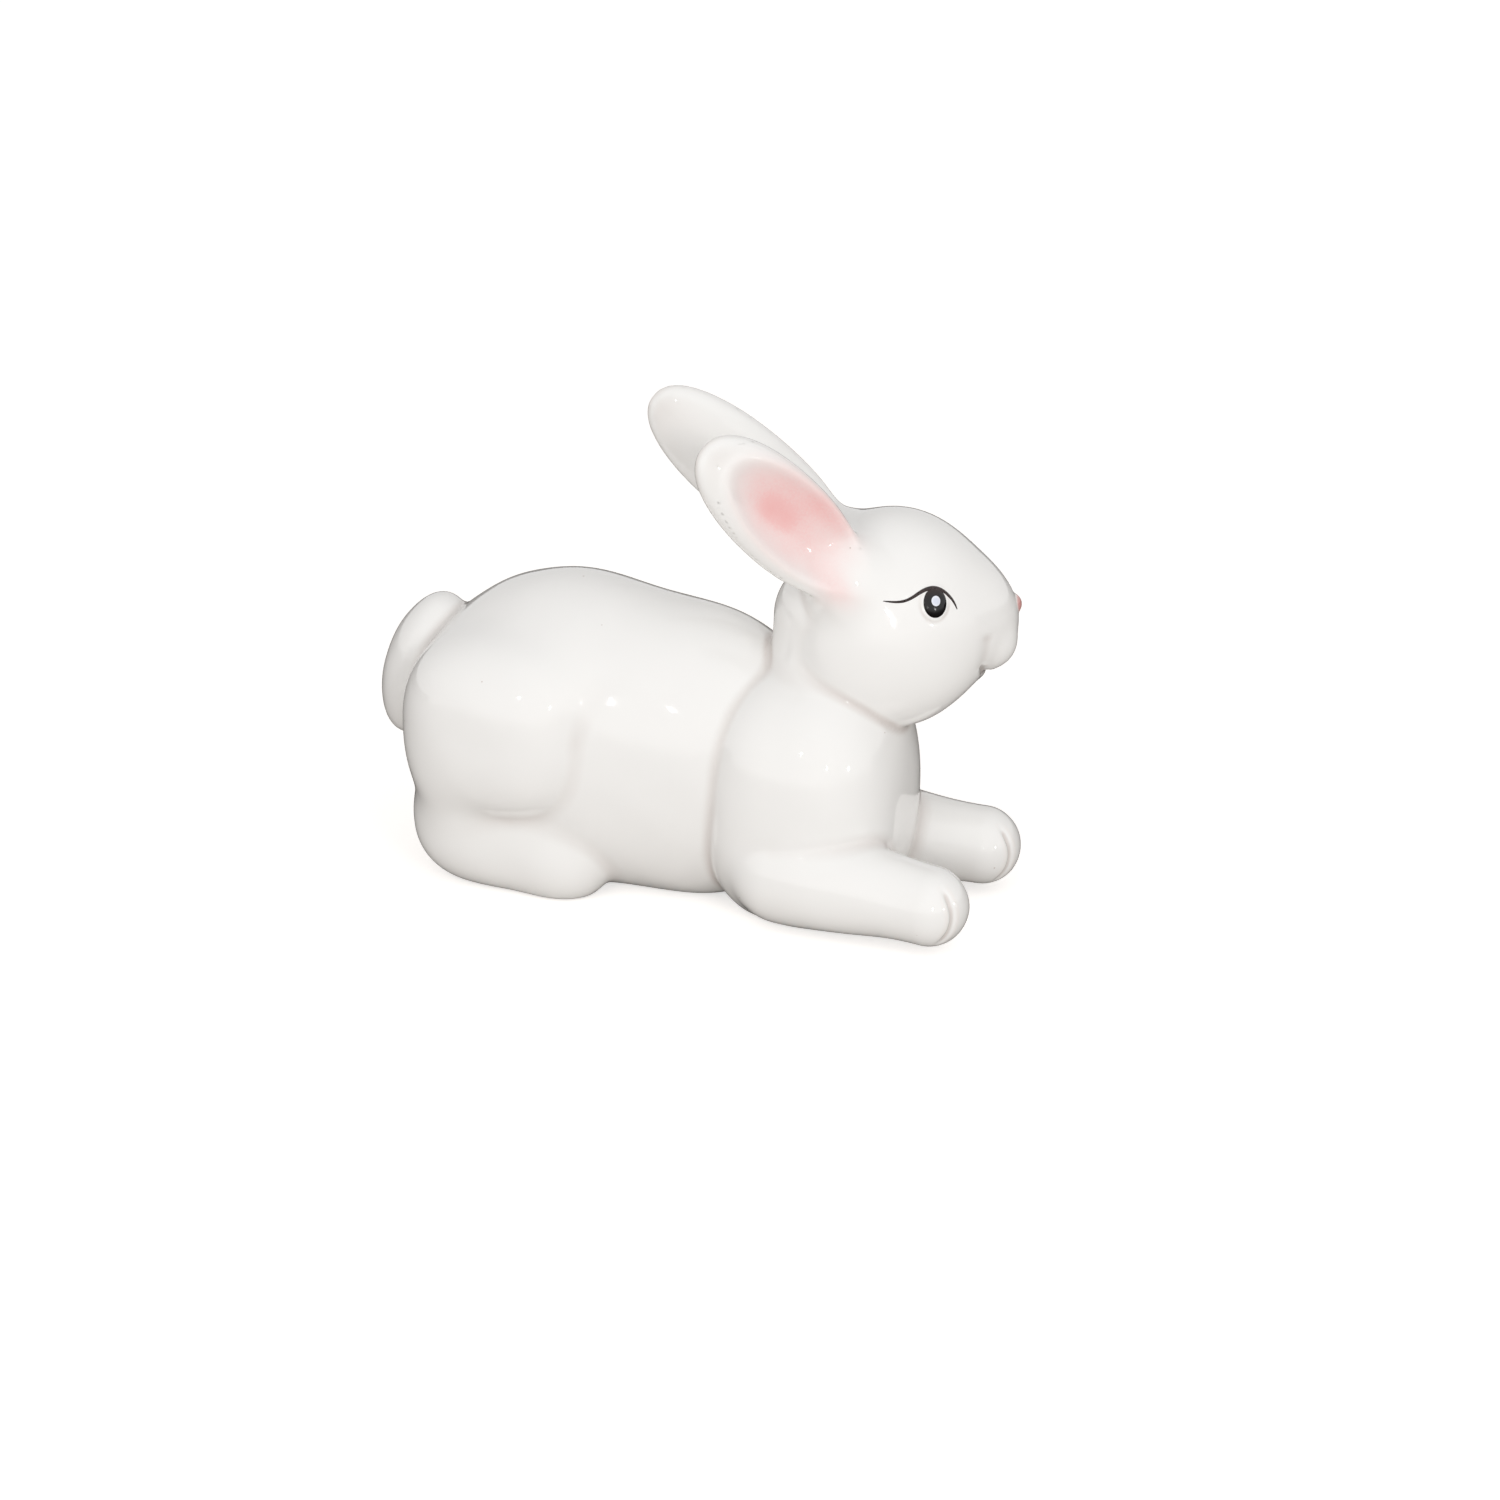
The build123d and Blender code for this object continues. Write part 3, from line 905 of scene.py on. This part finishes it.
for name in casting_names:
    skin, whole = deepened[owned(name)], faces[owned(name)]
    start, end = border_of(whole)
    if name in hubs:
        hub = 3 * shift + list(hubs).index(name)
        fan = np.stack([end, start, np.full(len(start), hub), np.full(len(start), -1)], 1)
        groups = [(skin, every_normal), (fan, None)]
    else:
        lining = in_reverse(np.where(whole >= 0, whole + 2 * shift, -1))
        edge_wall = np.stack([end, start, start + 2 * shift, end + 2 * shift], 1)
        groups = [(skin, every_normal), (lining, every_normal), (edge_wall, None)]
    piece = fired(name + "_glazed", groups, white_glaze)
    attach(piece, "root")
    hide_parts(name)


# Ear blushes and nose: pink underglaze, sprayed on the raw clay in soft clouds
# and fired under the same clear glaze, so its edges fade to nothing.
pink_blush = fired_glaze("sprayed_pink_underglaze", *ear_pinks)
nose_pink_glaze = fired_glaze("brushed_pink_nose_underglaze", "D59B97", "EBC4BF")
for name, region in sprayed.items():
    groups = [(faces[region], every_normal), (in_reverse(deepened[region]), -every_normal)]
    piece = fired(name + "_underglaze", groups, nose_pink_glaze if name == "nose" else pink_blush)
    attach(piece, "root")
    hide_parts(name)


# Eyes: a full brush of black overglaze enamel let down as one standing drop on
# the swelling, browner along its top where it runs into the lash line.
drop_rise, drop_root = 0.42, 0.35
rings, spokes = 14, 72
drop_steps = 6


def drop(side, centre, radii, rise, root, base=None):
    """A standing drop of enamel: rings of corners laid on the head, raised to a rounded edge.
    Returns corners, faces and a map that runs from -1 to 1 over the drop."""
    spot, axes = eye_places[side]
    angles = np.arange(spokes) * 2 * math.pi / spokes * -side
    shares = np.sin(np.arange(1, rings + 1) / rings * math.pi / 2)
    flat = [(0.0, 0.0)] + [(share * math.cos(t), share * math.sin(t)) for share in shares for t in angles]
    flat = np.array(flat)
    forward, upward = flat[:, :1] * radii[0] + centre[0], flat[:, 1:] * radii[1] + centre[1]
    spots = spot + forward * axes[0] + upward * axes[1]
    for _ in range(drop_steps):
        spots = spots - rabbit(spots)[:, None] * axes[2]
    lift = np.sqrt(np.maximum(1 - (flat ** 2).sum(1), 0))
    ground = np.zeros(len(spots)) if base is None else base((spots - spot) @ axes.T)
    top = spots + (ground + rise * lift)[:, None] * axes[2]
    under = spots + (ground - root * lift)[:, None] * axes[2]
    count = len(flat)
    inner_part = count - spokes
    lower = np.where(np.arange(count) < inner_part, np.arange(count) + count, np.arange(count))
    faces = [(0, 1 + i, 1 + (i + 1) % spokes, -1) for i in range(spokes)]
    for ring in range(rings - 1):
        near, off = 1 + ring * spokes, 1 + (ring + 1) * spokes
        faces += [(near + i, off + i, off + (i + 1) % spokes, near + (i + 1) % spokes) for i in range(spokes)]
    faces = np.array(faces)
    bottom = np.where(faces >= 0, lower[faces], -1)
    corners = np.concatenate([top, under[:inner_part]])
    return corners, np.concatenate([faces, in_reverse(bottom)]), np.concatenate([flat, flat[:inner_part]])


def eye_height(local):
    """Height of the eye's enamel over the skin at places in the eye's own directions."""
    ring = (local[:, 0] / eye_half_width) ** 2 + (local[:, 1] / eye_half_height) ** 2
    return drop_rise * np.sqrt(np.maximum(1 - ring, 0))


brushing_size = 1.1
rim_from, crown_from, crown_to = 0.55, 0.35, 1.05
brush_strength, brush_height = 0.3, 0.00003


def enamel(name, middle, edge, top, rough, unevenness=0.1):
    """Lead-free overglaze enamel, thick and glassy: one colour in the middle, another towards the edge
    and a third along the top, from the drop's own map, with a slight brush unevenness."""
    material, tree, shader = blank(name)
    spread = add(tree, "ShaderNodeUVMap", uv_map="surface").outputs["UV"]
    place = add(tree, "ShaderNodeTexCoord").outputs["Object"]
    reach = add(tree, "ShaderNodeVectorMath", links={0: spread}, operation="LENGTH").outputs["Value"]
    brushing = add(tree, "ShaderNodeTexNoise", {"Scale": per(brushing_size), "Detail": 2.0},
                   {"Vector": place})
    uneven = add(tree, "ShaderNodeMapRange", {"To Min": -unevenness, "To Max": unevenness},
                 {"Value": brushing.outputs["Fac"]})
    wavering = add(tree, "ShaderNodeMath", links={0: reach, 1: uneven.outputs[0]}, operation="ADD")
    rim = add(tree, "ShaderNodeMapRange", {"From Min": rim_from, "From Max": 1.0},
              {"Value": wavering.outputs[0]})
    height = add(tree, "ShaderNodeSeparateXYZ", links={"Vector": spread}).outputs["Y"]
    crown = add(tree, "ShaderNodeMapRange", {"From Min": crown_from, "From Max": crown_to}, {"Value": height})
    colour = mixed(tree, rim.outputs[0], linear(middle), linear(edge))
    tree.links.new(mixed(tree, crown.outputs[0], colour, linear(top)), shader.inputs["Base Color"])
    gloss = add(tree, "ShaderNodeMapRange", {"To Min": rough, "To Max": rough * 2},
                {"Value": brushing.outputs["Fac"]})
    tree.links.new(gloss.outputs[0], shader.inputs["Roughness"])
    skin = add(tree, "ShaderNodeBump", {"Strength": brush_strength, "Distance": brush_height},
               {"Height": brushing.outputs["Fac"]})
    tree.links.new(skin.outputs[0], shader.inputs["Normal"])
    shader.inputs["IOR"].default_value = glass_ior
    return material


black_enamel = enamel("black_overglaze_enamel", "0B0B0D", "141010", "2E1C18", rough=0.08)
for name, side in reversed(sides.items()):
    corners, shell, spread = drop(side, (0, 0), (eye_half_width, eye_half_height), drop_rise, drop_root)
    piece = shape_of(name + "_eye_enamel", corners, shell, black_enamel, maps=spread)
    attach(piece, "root")
    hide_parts(name + "_eye")


# Catch-lights: a painted highlight on each eye, the lamps' reflection laid on as
# one small dab of pale blue-white enamel, greyer in the middle than at its edge.
glint_centre, glint_radii, glint_rise, glint_root = (-0.05, 0.4), (1.05, 1.15), 0.14, 0.05
catchlight_highlight_paint = enamel("painted_catchlight_highlight", "DCE1EF", "F4F7FF", "F4F7FF", rough=0.1, unevenness=0.2)
for name, side in reversed(sides.items()):
    corners, shell, spread = drop(side, glint_centre, glint_radii, glint_rise, glint_root, eye_height)
    piece = shape_of(name + "_eye_painted_catchlight", corners, shell, catchlight_highlight_paint, maps=spread)
    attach(piece, "root")
    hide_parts(name + "_eye_glint")


# Lash lines: one stroke of brown-black enamel drawn with a liner brush over
# each eye, from a hair-thin tail behind it to a short hook in front. The stroke
# is a thin bead that follows its path over the clay and tapers at both ends.
lash_radius = 0.44
lash_flatness = 0.45
lash_route = [(-11.5, 0.75), (-9.3, 0.42), (-7.3, 0.36), (-5.3, 1.15), (-3.5, 2.35), (-1.7, 3.2),
              (0.1, 3.45), (2.0, 2.8), (3.7, 1.45), (4.9, 0.0), (5.5, -1.5)]
lash_swell = [(0.0, 0.14), (0.12, 0.55), (0.35, 0.8), (0.55, 1.0), (0.8, 0.8), (1.0, 0.25)]
lash_steps, lash_sides, lash_smoothness, lash_settling = 160, 12, 24, 8


def brushed_line(tree_name, material):
    """Geometry Nodes: a bead along the edges of a path, swollen and tapered, closed at both ends."""
    tree = bpy.data.node_groups.new(tree_name, "GeometryNodeTree")
    face = tree.interface
    face.new_socket("Path", in_out="INPUT", socket_type="NodeSocketGeometry")
    sizes = {}
    for label, kind in (("Radius", "NodeSocketFloat"), ("Sides", "NodeSocketInt")):
        sizes[label] = face.new_socket(label, in_out="INPUT", socket_type=kind).identifier
    face.new_socket("Stroke", in_out="OUTPUT", socket_type="NodeSocketGeometry")
    given = tree.nodes.new("NodeGroupInput")
    line = add(tree, "GeometryNodeMeshToCurve", links={"Mesh": given.outputs["Path"]})
    share = add(tree, "GeometryNodeSplineParameter")
    swell = add(tree, "ShaderNodeFloatCurve", links={"Value": share.outputs["Factor"]})
    curve = swell.mapping.curves[0]
    while len(curve.points) < len(lash_swell):
        curve.points.new(0.5, 0.5)
    for point, (x, y) in zip(curve.points, lash_swell):
        point.location = (x, y)
    swell.mapping.update()
    radius = add(tree, "ShaderNodeMath", links={0: swell.outputs[0], 1: given.outputs["Radius"]},
                 operation="MULTIPLY")
    ring = add(tree, "GeometryNodeCurvePrimitiveCircle", {"Radius": 1.0},
               {"Resolution": given.outputs["Sides"]})
    bead = add(tree, "GeometryNodeCurveToMesh", {"Fill Caps": True},
               {"Curve": line.outputs[0], "Profile Curve": ring.outputs[0], "Scale": radius.outputs[0]})
    kept = add(tree, "GeometryNodeRealizeInstances", links={0: bead.outputs[0]})
    dressed = add(tree, "GeometryNodeSetMaterial", {"Material": material}, {"Geometry": kept.outputs[0]})
    final = tree.nodes.new("NodeGroupOutput")
    tree.links.new(dressed.outputs[0], final.inputs["Stroke"])
    return tree, sizes


patch_size, dry_gloss = 0.7, (0.15, 0.4)


def stroke_enamel(name):
    """Brown-black enamel from a liner brush: browner and drier in small patches, and less glassy
    than the eye."""
    material, tree, shader = blank(name)
    place = add(tree, "ShaderNodeTexCoord").outputs["Object"]
    patches = add(tree, "ShaderNodeTexNoise", {"Scale": per(patch_size), "Detail": 2.0}, {"Vector": place})
    brown = mixed(tree, patches.outputs["Fac"], linear("1A1213"), linear("3B2A28"))
    tree.links.new(brown, shader.inputs["Base Color"])
    gloss = add(tree, "ShaderNodeMapRange", {"To Min": dry_gloss[0], "To Max": dry_gloss[1]},
                {"Value": patches.outputs["Fac"]})
    tree.links.new(gloss.outputs[0], shader.inputs["Roughness"])
    skin = add(tree, "ShaderNodeBump", {"Strength": brush_strength, "Distance": brush_height},
               {"Height": patches.outputs["Fac"]})
    tree.links.new(skin.outputs[0], shader.inputs["Normal"])
    return material


def smooth_path(route, steps):
    """The route as one smooth curve, in that many evenly spaced places."""
    bow = bpy.data.curves.new("lash_path", "CURVE")
    bow.dimensions = "3D"
    spline = bow.splines.new("NURBS")
    spline.points.add(len(route) - 1)
    for point, (x, y) in zip(spline.points, route):
        point.co = (x, y, 0, 1)
    spline.order_u = 4
    spline.use_endpoint_u = True
    spline.resolution_u = lash_smoothness
    holder = bpy.data.objects.new("lash_path", bow)
    line = bpy.data.meshes.new_from_object(holder)
    flat = np.array([corner.co[:2] for corner in line.vertices])
    bpy.data.objects.remove(holder)
    bpy.data.curves.remove(bow)
    bpy.data.meshes.remove(line)
    gone = np.concatenate([[0], np.cumsum(np.linalg.norm(np.diff(flat, axis=0), axis=1))])
    even = np.linspace(0, gone[-1], steps)
    return np.stack([np.interp(even, gone, flat[:, 0]), np.interp(even, gone, flat[:, 1])], -1)


brown_enamel = stroke_enamel("brown_black_liner_enamel")
stroke_tree, stroke_sizes = brushed_line("liner_brush_stroke", brown_enamel)
flat = smooth_path(lash_route, lash_steps)
for name, side in reversed(sides.items()):
    spot, axes = eye_places[side]
    spots = spot + flat[:, :1] * axes[0] + flat[:, 1:] * axes[1]
    for _ in range(lash_settling):
        spots = spots - rabbit(spots)[:, None] * axes[2]
    mesh = bpy.data.meshes.new(name + "_lash_line_stroke")
    mesh.from_pydata((spots / 1000).tolist(), [(i, i + 1) for i in range(lash_steps - 1)], [])
    drawn = shown(name + "_lash_line_drawn", mesh)
    brush = drawn.modifiers.new("brush", "NODES")
    brush.node_group = stroke_tree
    brush[stroke_sizes["Radius"]] = lash_radius / 1000
    brush[stroke_sizes["Sides"]] = lash_sides
    graph = bpy.context.evaluated_depsgraph_get()
    stroke = bpy.data.meshes.new_from_object(drawn.evaluated_get(graph))
    bpy.data.objects.remove(drawn)
    # the bead is flattened on to the clay about its path
    corners = np.array([corner.co[:] for corner in stroke.vertices]) * 1000
    out = unit(probed(rabbit, corners)[1])
    corners = corners - (rabbit(corners) * (1 - lash_flatness))[:, None] * out
    for corner, place in zip(stroke.vertices, corners / 1000):
        corner.co = place
    stroke.polygons.foreach_set("use_smooth", [True] * len(stroke.polygons))
    piece = shown(name + "_lash_line_enamel", stroke)
    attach(piece, "root")
    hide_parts(name + "_lash_line")


# Setting: a plain white table in a white light tent that is brightest round the
# camera, small lamps that sparkle in the glaze, and dark flags out of shot, seen
# only in reflections, that draw a thin grey outline round the white glaze.
table_size = 6.0
dark_to, pale_from = 0.2, 1.3
table_whitening = 0.58
mesh = bpy.data.meshes.new("table_top")
corners = [(x * table_size, y * table_size, 0) for x, y in ((-1, -1), (1, -1), (1, 1), (-1, 1))]
mesh.from_pydata(corners, [], [(0, 1, 2, 3)])
floor = shown("table_top", mesh)

# the table is pale, but to reflected rays it is painted dark near the rabbit and pale farther off: a painted
# dark reflection that draws grey rims on the glaze
paper, tree, shader = blank("white_paper_sweep_painted_dark_in_reflections")
shader.inputs["Roughness"].default_value = 0.95
shader.inputs["Specular IOR Level"].default_value = 0.0
seen = add(tree, "ShaderNodeLightPath")
place = add(tree, "ShaderNodeTexCoord").outputs["Object"]
reach = add(tree, "ShaderNodeVectorMath", links={0: place}, operation="LENGTH")
away = add(tree, "ShaderNodeMapRange", {"From Min": dark_to, "From Max": pale_from},
           {"Value": reach.outputs["Value"]})
# painted reflection: glossy rays see the table dark close to the rabbit
painted_reflection_tone = mixed(tree, away.outputs[0], linear("2A2320"), linear("E4E0DC"))
tone = mixed(tree, seen.outputs["Is Glossy Ray"], linear("E4E0DC"), painted_reflection_tone)
tree.links.new(tone, shader.inputs["Base Color"])
level = add(tree, "ShaderNodeMath", {1: table_whitening}, {0: seen.outputs["Is Camera Ray"]},
            operation="MULTIPLY")
whitening = add(tree, "ShaderNodeEmission", links={"Strength": level.outputs[0]})
both = add(tree, "ShaderNodeAddShader", links={0: shader.outputs[0], 1: whitening.outputs[0]})
tree.links.new(both.outputs[0], tree.nodes["Material Output"].inputs["Surface"])
mesh.materials.append(paper)


def bearing(azimuth, elevation):
    """Direction out from the rabbit. Azimuth 0 faces its right side and 90 its front."""
    a, e = math.radians(azimuth), math.radians(elevation)
    return Vector((math.sin(a) * math.cos(e), -math.cos(a) * math.cos(e), math.sin(e)))


# the light tent: plain white to the camera and in reflections; as a light it is brightest near the camera
tent_azimuth, tent_elevation = 32, 45
tent_dimmest, tent_brightest, tent_white_from = 0.14, 0.79, 0.6
world = bpy.data.worlds.new("light_tent")
bpy.context.scene.world = world
world.use_nodes = True
tree = world.node_tree
seen = add(tree, "ShaderNodeLightPath")
direct = add(tree, "ShaderNodeMath", operation="MAXIMUM",
             links={0: seen.outputs["Is Camera Ray"], 1: seen.outputs["Is Glossy Ray"]})
straight = add(tree, "ShaderNodeMath", operation="MAXIMUM",
               links={0: direct.outputs[0], 1: seen.outputs["Is Transmission Ray"]})
direction = add(tree, "ShaderNodeTexCoord").outputs["Generated"]
towards = add(tree, "ShaderNodeVectorMath", {1: bearing(tent_azimuth, tent_elevation)}, {0: direction},
              operation="DOT_PRODUCT").outputs["Value"]
glow = add(tree, "ShaderNodeMapRange", {"From Min": -1.0, "To Min": tent_dimmest, "To Max": tent_brightest},
           {"Value": towards})
strength = add(tree, "ShaderNodeMix", {3: 1.0}, {0: straight.outputs[0], 2: glow.outputs[0]},
               data_type="FLOAT")
dim = add(tree, "ShaderNodeMapRange", {"From Min": -1.0, "From Max": tent_white_from}, {"Value": towards})
warm = mixed(tree, dim.outputs[0], linear("E9D8CC"), linear("FFFFFF"))
backdrop = tree.nodes["Background"]
tree.links.new(mixed(tree, straight.outputs[0], warm, linear("FFFFFF")), backdrop.inputs["Color"])
tree.links.new(strength.outputs[0], backdrop.inputs["Strength"])

# the two large lamps light the glaze without being mirrored in it; the small ones are its sparkles
lamps = {
    "front_fill": dict(azimuth=-8, elevation=14, distance=1.4, size=(1.0, 0.6), radiance=1.65),
    "key_lamp": dict(azimuth=40, elevation=18, distance=1.3, size=(0.26, 0.26), radiance=14),
    "sparkle_lamp_right": dict(azimuth=31, elevation=9, distance=0.9, size=(0.016, 0.03), radiance=80),
    "sparkle_lamp_left": dict(azimuth=-1, elevation=20, distance=0.9, size=(0.012, 0.03), radiance=90),
    "sparkle_lamp_side": dict(azimuth=62, elevation=5, distance=0.9, size=(0.035, 0.035), radiance=60),
}
lamp_target = Vector((0.01, 0, 0.05))
for name, row in lamps.items():
    lamp = bpy.data.lights.new(name, "AREA")
    lamp.shape = "RECTANGLE"
    lamp.size, lamp.size_y = row["size"]
    lamp.energy = row["radiance"] * math.pi * row["size"][0] * row["size"][1]
    holder = shown(name, lamp)
    holder.visible_glossy = name.startswith("sparkle")
    off = bearing(row["azimuth"], row["elevation"])
    holder.location = lamp_target + off * row["distance"]
    holder.rotation_euler = off.to_track_quat("Z", "Y").to_euler()

# the flags: a low dark wall round the far side, seen only in reflections
flag_cloth, tree, shader = blank("black_flag_cloth")
shader.inputs["Base Color"].default_value = linear("2A2522")
shader.inputs["Roughness"].default_value = 1.0
flag_radius, flag_low, flag_high, flag_from, flag_to, flag_steps = 0.7, -0.01, 0.1, 100, 300, 20
rows = []
for step in range(flag_steps + 1):
    a = math.radians(flag_from + (flag_to - flag_from) * step / flag_steps)
    rows += [(flag_radius * math.sin(a), -flag_radius * math.cos(a), z) for z in (flag_low, flag_high)]
mesh = bpy.data.meshes.new("black_flags")
mesh.from_pydata(rows, [], [(2 * i, 2 * i + 2, 2 * i + 3, 2 * i + 1) for i in range(flag_steps)])
mesh.materials.append(flag_cloth)
flags = shown("black_flags", mesh)
flags.visible_camera = flags.visible_diffuse = flags.visible_shadow = flags.visible_transmission = False


# Camera: a long lens in front of the rabbit's right side, turned a little towards
# its head and looking down on it, as in the photo.
camera_azimuth, camera_elevation, camera_distance, focal_length = 20, 20, 0.971, 100
camera_target = Vector((0.0215, 0.0227, 0.0254))
back = bearing(camera_azimuth, camera_elevation)
lens = bpy.data.cameras.new("camera")
lens.lens = focal_length
camera = shown("camera", lens)
camera.location = camera_target + back * camera_distance
camera.rotation_euler = (-back).to_track_quat("-Z", "Y").to_euler()
bpy.context.scene.camera = camera
bpy.context.scene.view_settings.view_transform = "Standard"
